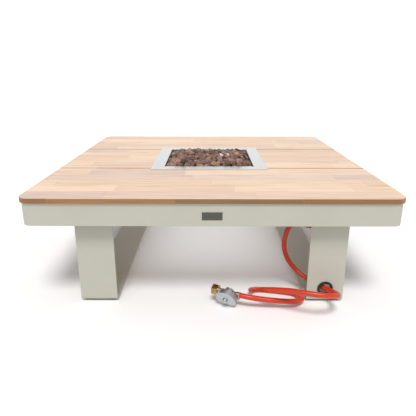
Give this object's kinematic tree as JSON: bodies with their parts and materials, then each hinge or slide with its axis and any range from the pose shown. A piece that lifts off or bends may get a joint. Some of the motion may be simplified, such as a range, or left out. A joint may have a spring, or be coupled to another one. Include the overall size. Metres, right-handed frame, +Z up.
{
  "type": "gas fire table",
  "caption": "Low square fire table: wood top on a painted steel apron and flat-bar legs, gas burner tray with lava rock, hose and regulator.",
  "frame": {"origin": "on the ground, under the middle of the wood top", "axes": "+X to the right, +Y to the back, +Z up; the name plate and the hose grommet face -Y and the gas knob faces +X"},
  "size_m": [1.0071, 1.0605, 0.339],
  "materials": {
    "hardwood": "satin oiled",
    "powder_coat": "satin",
    "black_steel": "satin",
    "zinc_steel": "satin",
    "stainless": "brushed",
    "name_plate": "satin",
    "black_rubber": "matte",
    "white_ceramic": "matte",
    "lava": "rough",
    "black_plastic": "matte",
    "brass": "turned",
    "die_cast": "cast",
    "orange_hose": "satin",
    "copper": "drawn"
  },
  "bodies": {
    "table": {"air_mixer": "zinc_steel", "apron_frame": "powder_coat", "back_board": "hardwood", "board_screws": "zinc_steel", "burner_pipe": "stainless", "burner_rail_left": "black_steel", "burner_rail_right": "black_steel", "burner_saddles": "stainless", "burner_tray": "stainless", "control_panel": "black_plastic", "coupling_seal": "black_rubber", "diaphragm": "black_rubber", "end_rail_left": "black_steel", "end_rail_right": "black_steel", "front_board": "hardwood", "gas_hose": "orange_hose", "gas_jet": "brass", "gas_pipe": "copper", "gas_valve": "die_cast", "grate_brackets": "stainless", "heat_shield": "zinc_steel", "hose_clamp_regulator": "zinc_steel", "hose_clamp_valve": "zinc_steel", "hose_grommet": "black_rubber", "hose_tail": "brass", "igniter_body": "black_plastic", "igniter_nut": "zinc_steel", "ignition_electrode": "white_ceramic", "ignition_lead": "black_rubber", "inlet_nozzle": "brass", "lava_rock": "lava", "leg_bolts": "zinc_steel", "leg_left": "powder_coat", "leg_pads": "black_rubber", "leg_rail_back": "black_steel", "leg_rail_front": "black_steel", "leg_right": "powder_coat", "magnet_unit": "brass", "middle_board_left": "hardwood", "middle_board_right": "hardwood", "name_plate": "name_plate", "name_plate_rivets": "name_plate", "pilot_guard": "stainless", "regulator_cap": "die_cast", "regulator_cover": "die_cast", "regulator_housing": "die_cast", "regulator_spring": "stainless", "regulator_tail": "brass", "rock_grate": "stainless", "seam_rail_back": "black_steel", "seam_rail_front": "black_steel", "shield_spacers": "zinc_steel", "thermocouple": "stainless", "thermocouple_lead": "copper", "valve_screws": "zinc_steel"},
    "gas_plug": {"valve_plug": "brass"},
    "gas_knob": {"valve_stem": "brass", "control_knob": "black_plastic"},
    "button": {"igniter_button": "black_plastic"},
    "union_nut": {"coupling_nut": "brass"}
  },
  "joints": [
    {"name": "gas_knob_turn", "type": "hinge", "parent": "table", "child": "gas_plug", "pos_m": [0.4936, -0.377, 0.275], "axis": [1, 0, 0], "range_deg": [0, 180]},
    {"name": "gas_knob_push", "type": "slide", "parent": "gas_plug", "child": "gas_knob", "axis": [-1, 0, 0], "range_m": [0, 0.003], "stiffness_N_per_m": 600, "springref_m": -0.004},
    {"name": "igniter_push", "type": "slide", "parent": "table", "child": "button", "axis": [-1, 0, 0], "range_m": [0, 0.004], "stiffness_N_per_m": 600, "springref_m": -0.004},
    {"name": "union_nut_turn", "type": "hinge", "parent": "table", "child": "union_nut", "pos_m": [0.04698, -0.47132, 0.0368], "axis": [-0.901, 0.4338, 0], "continuous": true}
  ]
}
